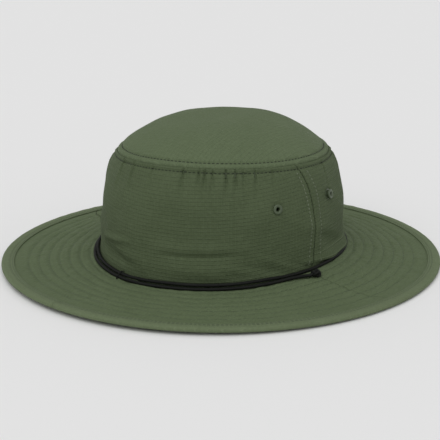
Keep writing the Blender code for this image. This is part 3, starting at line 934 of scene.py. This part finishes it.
# The side seam's thread is a lighter copy of the green sewing thread: a painted highlight on its raised
# stitches.
thread_lit = thread_finish("band_thread_painted_highlight", (0.120, 0.145, 0.095), (0.190, 0.220, 0.150))
hand_in_row("side_seam_stitches", seam_rows, thread_lit, "ripstop_band")
band_row = bmesh.new()
sew(
    band_row,
    lambda share, up: band_face(360 * share, 1 - band_share(360 * share, BAND_ROW_DROP), up),
    round(math.tau * (MEAN_RADIUS - 0.010) / STITCH_PITCH),
    CROWN_STITCH,
)
# The crown rows' thread is a near-black copy of the green sewing thread: painted shade of the needle holes and
# grooves.
thread_shaded = thread_finish("crown_thread_painted_shade", (0.010, 0.015, 0.007), (0.034, 0.046, 0.024))
hand_in_row("band_stitches", band_row, thread_shaded, "ripstop_band")

# --------------------------------------
# Crown tip: one oval of ripstop, domed by its fullness, turned in at the seam and topstitched round.
# --------------------------------------
TIP_RISE = 0.028
TIP_ROUNDNESS = 2.9
CROWN_ROW_DROP = 0.0045
# Distance above the crown seam, width and rise of the seam, the stitch row and the ridge between them
TIP_LINES = ((0.0, 0.0008, -0.0009), (CROWN_ROW_DROP, 0.0009, -0.0011), (0.0022, 0.0016, 0.0004))
TIP_WAVES = ((0.040, 0.0014), (0.015, 0.0004))
TIP_RUN = 1.25
TIP_COLUMNS = 300
TIP_STEPS = 84


def tip_point(bearing, spread, depth):
    """On the domed tip, at a share of the way from its middle to the seam."""
    tuck = BAND_LEAN + SHOULDER_TUCK
    lift = seam_height(bearing) - SEAM_HEIGHT
    height = SEAM_HEIGHT + lift * spread**2 + TIP_RISE * (1 - spread**TIP_ROUNDNESS)
    slope = 2 * lift * spread - TIP_RISE * TIP_ROUNDNESS * spread ** (TIP_ROUNDNESS - 1)
    reach = MEAN_RADIUS - tuck
    steep = math.hypot(reach, slope)
    inward = -depth * slope / steep
    return on_oval(
        bearing,
        (HALF_LENGTH - tuck) * spread - inward,
        (HALF_WIDTH - tuck) * spread - inward,
        height - depth * reach / steep,
    )


def tip_face(bearing, spread, up):
    drop = (1 - spread) * (MEAN_RADIUS - BAND_LEAN - SHOULDER_TUCK) * TIP_RUN
    plain = tip_point(bearing, spread, 0.0)
    relief = sum(rise * hump(drop - place, width) for place, width, rise in TIP_LINES)
    relief += held(drop / SEAM_CALM) * sum(rumple(plain, size, rise) for size, rise in TIP_WAVES)
    return tip_point(bearing, spread, -up - relief)


def tip_place(across, inward):
    bearing = 360 * across
    spread = 0.9995 * (1 - inward**1.35)
    return tip_face(bearing, spread, 0.0), (arc(bearing), spread * MEAN_RADIUS)


# The tip is the hat's one cloth coloured a little lighter than the brim: painted light on the crown's top.
TIP_LIT_DARK = (0.076, 0.106, 0.050)
TIP_LIT_LIGHT = (0.142, 0.182, 0.102)
tip_green_lit = ripstop("tip_ripstop_painted_light", TIP_LIT_DARK, TIP_LIT_LIGHT, grain=math.radians(-6), rib=1.4)
tip = sewn_cloth("tip", tip_place, TIP_COLUMNS, TIP_STEPS, PANEL, tip_green_lit)
hand_in(tip, "ripstop_green", "crown_tip")

tip_row = bmesh.new()
tip_count = round(math.tau * (MEAN_RADIUS - 0.016) / STITCH_PITCH)
row_spread = 1 - CROWN_ROW_DROP / TIP_RUN / (MEAN_RADIUS - BAND_LEAN - SHOULDER_TUCK)
sew(tip_row, lambda share, up: tip_face(360 * share, row_spread, up), tip_count, CROWN_STITCH)
hand_in_row("tip_stitches", tip_row, thread_shaded, "ripstop_green")

# --------------------------------------
# Eyelets: four flanged brass eyelets, painted green, each rolled over a washer inside the band.
# --------------------------------------
EYELET_SIDES = 48
EYELET_BORE = 0.0014
EYELET_WALL = 0.0007
EYELET_FLANGE = 0.0037
EYELET_CROWN = 0.0010
EYELET_SEAT = 0.0004
CAD_PANEL = 0.0008
WASHER_RADIUS = 0.004
TAPE = 0.0006

paint, paint_tree, paint_shader = new_finish("eyelet_enamel", (0.05, 0.07, 0.035), 0.42)
paint_shader.inputs["Coat Weight"].default_value = 0.1
paint_peel = fuzz(paint_tree, piece_spot(paint_tree), 1400.0)
PAINT_DARK = (0.046, 0.068, 0.031)
PAINT_LIGHT = (0.078, 0.106, 0.056)
colour_and_relief(paint_tree, paint_shader, paint_peel, PAINT_DARK, PAINT_LIGHT, paint_peel, 0.25, 0.0001)


def turned_ring(name, section, place):
    """A ring turned from a closed section of radius and height."""
    shape = bmesh.new()
    corners = [shape.verts.new((radius, 0.0, height)) for radius, height in section]
    loop = [shape.edges.new((corners[i - 1], corners[i])) for i in range(len(corners))]
    bmesh.ops.spin(
        shape, geom=[*corners, *loop], axis=(0, 0, 1), cent=(0, 0, 0), steps=EYELET_SIDES, angle=math.tau,
        use_merge=True,
    )
    bmesh.ops.remove_doubles(shape, verts=shape.verts, dist=1e-7)
    bmesh.ops.recalc_face_normals(shape, faces=shape.faces)
    bmesh.ops.transform(shape, matrix=place, verts=shape.verts)
    return piece_from(name, shape, paint)


barrel = EYELET_BORE + EYELET_WALL
flange_arc = [math.radians(angle) for angle in range(0, 181, 20)]
flange_half = (EYELET_FLANGE - EYELET_BORE) / 2
eyelet_top = [
    (
        (EYELET_BORE + EYELET_FLANGE) / 2 - flange_half * math.cos(angle),
        EYELET_SEAT + EYELET_CROWN * math.sin(angle) ** 0.7,
    )
    for angle in flange_arc
]
washer_top = -(CAD_PANEL + 0.0006)
roll = washer_top - TAPE - 0.0003
eyelet_section = [
    *eyelet_top,
    (EYELET_FLANGE - 0.0003, EYELET_SEAT - 0.0002),
    (barrel, EYELET_SEAT - 0.0002),
    (barrel, roll),
    (barrel + EYELET_WALL * 0.7, roll),
    (barrel + EYELET_WALL, roll - EYELET_WALL * 0.4),
    (barrel + EYELET_WALL * 0.5, roll - EYELET_WALL),
    (barrel - EYELET_WALL * 0.4, roll - EYELET_WALL),
    (EYELET_BORE, roll - EYELET_WALL * 0.4),
]
washer_section = [
    (barrel + 0.0003, washer_top),
    (WASHER_RADIUS - 0.0001, washer_top),
    (WASHER_RADIUS, washer_top - 0.0001),
    (WASHER_RADIUS, washer_top - TAPE + 0.0001),
    (WASHER_RADIUS - 0.0001, washer_top - TAPE),
    (barrel + 0.0003, washer_top - TAPE),
]
for side, bearing in EYELETS.items():
    place = eyelet_frame(bearing)
    ring = turned_ring(f"eyelet_ring_{side}", eyelet_section, place)
    hand_in(ring, "eyelet_paint", f"eyelet_{side}")
    washer = turned_ring(f"washer_{side}", washer_section, place)
    hand_in(washer, "eyelet_paint", f"eyelet_washer_{side}")

# --------------------------------------
# Inner tapes: a twill tape covers the raw edges of the crown seam, and one covers each side seam.
# --------------------------------------
CROWN_TAPE_WIDTH = 0.011
SEAM_TAPE_WIDTH = 0.012
TAPE_DEPTH = 0.0017
TAPE_CLOTH = 0.0004
TAPE_ROWS = (-0.0045, 0.0045)
TAPE_COLUMNS = 240
TAPE_STEPS = 12


def twill(name, dark, light, pitch):
    """Woven tape with fine slanting ribs."""
    finish, tree, shader = new_finish(name, dark, 0.85)
    shader.inputs["Sheen Weight"].default_value = 0.2
    coords = wire(tree, "ShaderNodeTexCoord")
    sides = wire(tree, "ShaderNodeSeparateXYZ", Vector=coords.outputs["UV"])
    slant = math_node(tree, "ADD", sides.outputs[0], sides.outputs[1])
    ribs = math_node(tree, "PINGPONG", math_node(tree, "DIVIDE", slant, pitch), 0.5)
    mottle = fuzz(tree, coords.outputs["Object"], 500.0)
    tone = math_node(tree, "MULTIPLY_ADD", ribs, 0.9, math_node(tree, "MULTIPLY", mottle, 0.5))
    colour_and_relief(tree, shader, tone, dark, light, ribs, 0.8, 0.0002)
    return finish


tape_green = twill("twill_tape", (0.045, 0.062, 0.032), (0.095, 0.122, 0.070), 0.0009)


def crown_tape_face(bearing, along, up):
    """On the inner face of the crown tape: along runs from below the seam to above it."""
    bow = 0.0003 * hump(along, 0.002)
    if along <= 0:
        return band_point(bearing, 1 + band_share(bearing, along), TAPE_DEPTH - bow + up)
    return tip_point(bearing, 1 - along / MEAN_RADIUS, TAPE_DEPTH - bow + up)


def round_from_back(across):
    """The bearing at a share of the way round, from a joint at the back to that joint again."""
    return (180 - math.degrees(SEAM_GAP / 2 / MEAN_RADIUS)) * (2 * across - 1)


def crown_tape_place(across, inward):
    bearing = round_from_back(across)
    along = CROWN_TAPE_WIDTH * (inward - 0.5)
    return crown_tape_face(bearing, along, 0.0), (arc(bearing), along)


crown_tape = sewn_cloth("crown_tape", crown_tape_place, TAPE_COLUMNS, TAPE_STEPS, TAPE_CLOTH, tape_green)
hand_in(crown_tape, "seam_tape", "crown_seam_tape")

tape_rows = bmesh.new()
for along in TAPE_ROWS:
    sew(tape_rows, lambda share, up: crown_tape_face(360 * share, along, TAPE_CLOTH + up), tip_count)


def side_tape_face(middle, side, rise, up):
    bearing = middle + math.degrees(side / MEAN_RADIUS)
    under = CROWN_TAPE_WIDTH / 2 + 0.0006
    return band_point(bearing, (1 - band_share(bearing, under)) * rise, TAPE_DEPTH + up)


for name, middle in (("left", 90), ("right", -90)):

    def side_tape_place(across, rise):
        side = SEAM_TAPE_WIDTH * (across - 0.5)
        return side_tape_face(middle, side, rise, 0.0), (side, rise * 0.065)

    side_tape = sewn_cloth(f"side_tape_{name}", side_tape_place, 14, 60, TAPE_CLOTH, tape_green)
    hand_in(side_tape, "seam_tape", f"side_seam_tape_{name}")
    for side in TAPE_ROWS:

        def tape_line(share, up):
            return side_tape_face(middle, side, 0.52 + 0.46 * share, TAPE_CLOTH + up)

        sew(tape_rows, tape_line, 11)
hand_in_row("tape_stitches", tape_rows, thread_green, "seam_tape")

# --------------------------------------
# Sweatband: a strip of thin foam covered in knitted wicking cloth, joined at the back and sewn in at
# the foot of the crown. Its top edge is overlocked and rolls softly inwards.
# --------------------------------------
SWEATBAND_HEIGHT = 0.032
SWEAT_DEPTH = 0.0022
SWEAT_FOAM = 0.0014
SWEAT_COLUMNS = 300
SWEAT_STEPS = 30


def sweat_face(bearing, climb, up):
    """On the sweatband's outer side: climb is in metres above the root."""
    share = climb / SWEATBAND_HEIGHT
    roll = 0.0006 * share**6
    return band_point(bearing, band_share(bearing, climb), SWEAT_DEPTH + roll + up)


def sweat_place(across, rise):
    bearing = round_from_back(across)
    climb = SWEATBAND_HEIGHT * rise
    puff = 0.0003 * math.cos(math.tau * climb / 0.008) * math.sin(math.pi * rise)
    return sweat_face(bearing, climb, puff), (arc(bearing), climb)


knit, knit_tree, knit_shader = new_finish("wicking_knit", (0.06, 0.08, 0.045), 0.95)
knit_shader.inputs["Sheen Weight"].default_value = 0.4
knit_uv = wire(knit_tree, "ShaderNodeTexCoord").outputs["UV"]
knit_cell = wire(knit_tree, "ShaderNodeTexVoronoi", Vector=knit_uv, Scale=900.0).outputs["Distance"]
# The knit darkens from its loops into the hollows between them: painted shade in the hollows.
KNIT_LOOP = (0.100, 0.128, 0.076)
KNIT_HOLLOW_SHADE = (0.040, 0.056, 0.030)
colour_and_relief(knit_tree, knit_shader, knit_cell, KNIT_LOOP, KNIT_HOLLOW_SHADE, knit_cell, 0.8, 0.0004, True)
sweat = sewn_cloth("sweat_pad", sweat_place, SWEAT_COLUMNS, SWEAT_STEPS, SWEAT_FOAM, knit)
hand_in(sweat, "sweatband_green", "sweatband")

sweat_rows = bmesh.new()
sweat_count = round(math.tau * MEAN_RADIUS / 0.0028)
for climb in (0.0022, SWEATBAND_HEIGHT - 0.0022):
    sew(sweat_rows, lambda share, up: sweat_face(360 * share, climb, SWEAT_FOAM + up), sweat_count)
hand_in_row("sweat_stitches", sweat_rows, thread_green, "sweatband_green")

# --------------------------------------
# Size label: a blank satin tag, sewn by its top edge to the back of the sweatband, where it swings.
# --------------------------------------
LABEL_CLOTH = 0.0004
label_low, label_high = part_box("size_label")


def label_place(across, rise):
    x = label_high.x + (label_low.x - label_high.x) * across
    hem = 0.00012 * (hump(rise, 0.04) + hump(1 - rise, 0.05))
    y = label_high.y - 0.0001 - hem + 0.00015 * math.sin(5 * across) * (1 - rise)
    return Vector((x, y, label_low.z + (label_high.z - label_low.z) * rise)), (x, rise * 0.02)


satin = twill("label_satin", (0.50, 0.50, 0.46), (0.68, 0.68, 0.64), 0.0005)
label = sewn_cloth("blank_label", label_place, 30, 28, LABEL_CLOTH, satin)
hand_in(label, "label_cloth", "size_label", body="label")
